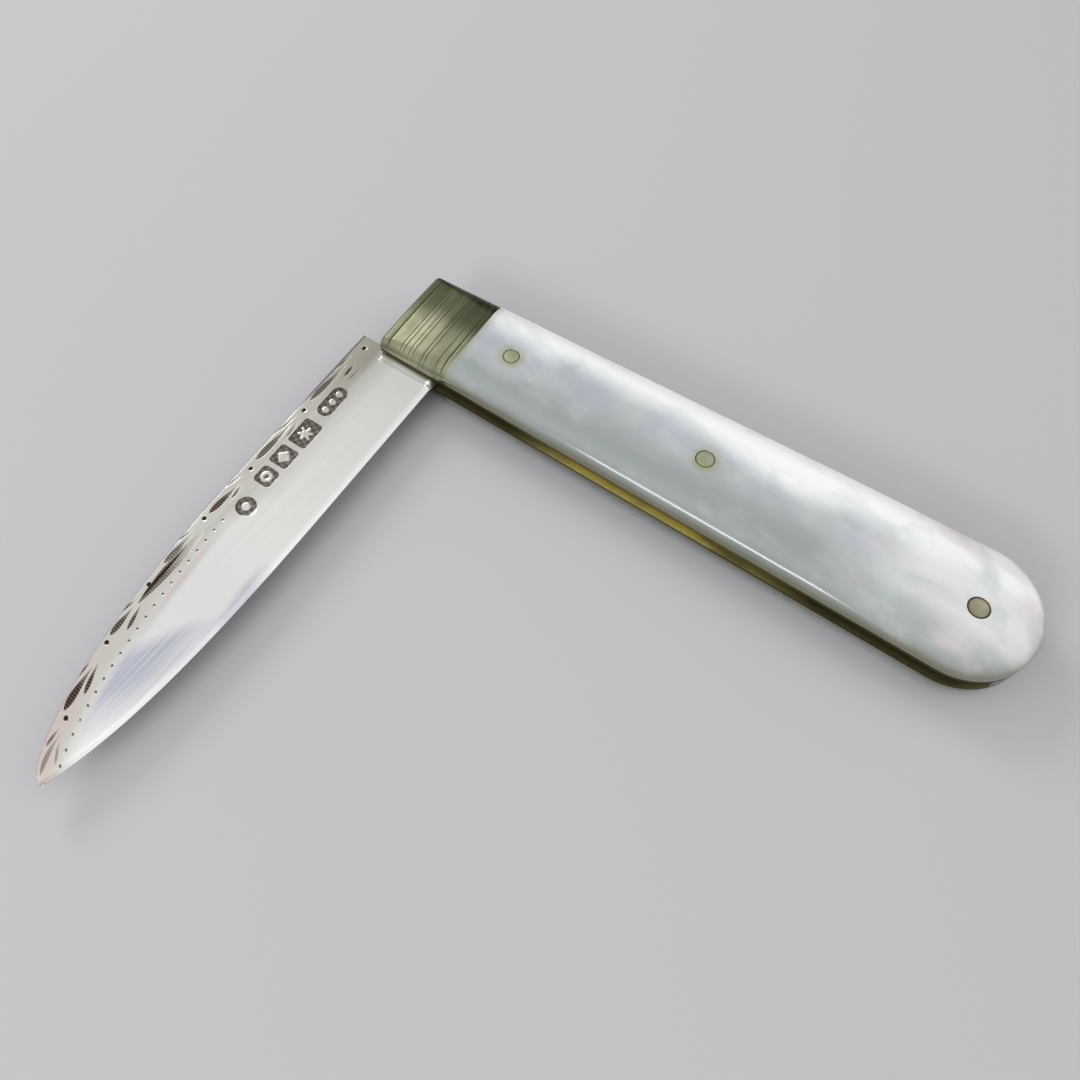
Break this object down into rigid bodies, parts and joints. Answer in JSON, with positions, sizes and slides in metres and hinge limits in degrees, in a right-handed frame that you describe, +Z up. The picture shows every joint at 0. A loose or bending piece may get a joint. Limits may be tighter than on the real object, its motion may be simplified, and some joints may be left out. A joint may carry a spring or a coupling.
{
  "type": "folding fruit knife",
  "caption": "Half-open folding fruit knife with a bordered silver blade, reeded bolsters, pearl scales and a slip joint that stops it closed, half open and open.",
  "frame": {"origin": "middle of the flat outer face of the rear scale, which the knife lies on", "axes": "+X along the handle towards its round butt, +Y towards the back and its spring, +Z up through the front scale; the half-open blade points along -Y"},
  "size_m": [0.0834, 0.0735, 0.0071],
  "materials": {
    "silver": "polished silver, hand burnished and a little scratched",
    "nickel_silver": "reeded nickel silver, worn bright with dull grooves",
    "pearl": "polished mother-of-pearl",
    "brass": "filed sheet brass",
    "spring_steel": "polished spring steel"
  },
  "bodies": {
    "handle": {"front_bolster": "nickel_silver", "rear_bolster": "nickel_silver", "front_scale": "pearl", "rear_scale": "pearl", "front_liner": "brass", "rear_liner": "brass", "backspring": "spring_steel", "pivot_pin": "nickel_silver", "butt_pin": "nickel_silver", "spring_pin": "spring_steel", "front_scale_fore_pin": "nickel_silver", "front_scale_mid_pin": "nickel_silver", "rear_scale_fore_pin": "nickel_silver", "rear_scale_mid_pin": "nickel_silver"},
    "blade": {"blade": "silver"}
  },
  "joints": [
    {"name": "blade_pivot", "type": "hinge", "parent": "handle", "child": "blade", "pos_m": [-0.04005, 0, 0.00355], "axis": [0, 0, -1], "range_deg": [-90, 90], "deforming": ["backspring"]}
  ]
}
